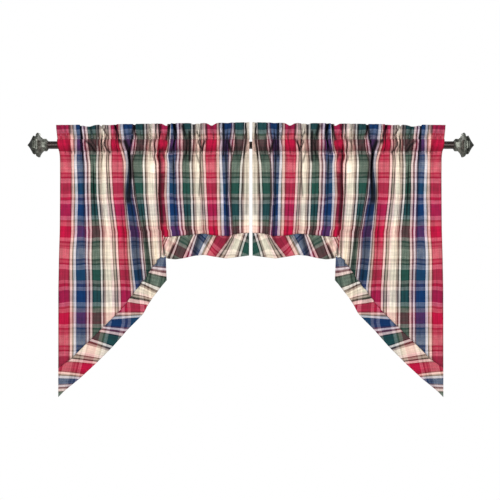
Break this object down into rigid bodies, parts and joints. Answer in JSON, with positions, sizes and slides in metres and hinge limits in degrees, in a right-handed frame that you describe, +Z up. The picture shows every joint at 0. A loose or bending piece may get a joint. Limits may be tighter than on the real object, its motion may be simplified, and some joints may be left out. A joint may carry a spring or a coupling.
{
  "type": "window valance on curtain rod",
  "caption": "Plaid cotton window valance: swag panels with slanted bias borders, gathered on a round rod with faceted finials, dressing the top of a window.",
  "frame": {"origin": "on the rod's axis at the middle of its length", "axes": "+X along the rod to the viewer's right, +Y towards the wall, +Z up; the cloth's face looks to -Y"},
  "size_m": [1.4848, 0.0796, 0.9115],
  "materials": {
    "rod_bronze": "dark bronze gloss",
    "finial_pewter": "aged pewter grey",
    "left_swag_plaid": "matt woven cotton plaid",
    "left_slant_plaid": "matt woven cotton plaid, cut on the bias",
    "left_level_plaid": "matt woven cotton plaid, cut on the bias",
    "right_swag_plaid": "matt woven cotton plaid",
    "right_slant_plaid": "matt woven cotton plaid, cut on the bias",
    "right_level_plaid": "matt woven cotton plaid, cut on the bias"
  },
  "bodies": {
    "root": {"rod": "rod_bronze", "left_finial": "finial_pewter", "right_finial": "finial_pewter", "left_swag": "left_swag_plaid", "left_slant_border": "left_slant_plaid", "left_level_border": "left_level_plaid", "right_swag": "right_swag_plaid", "right_slant_border": "right_slant_plaid", "right_level_border": "right_level_plaid"}
  },
  "joints": []
}
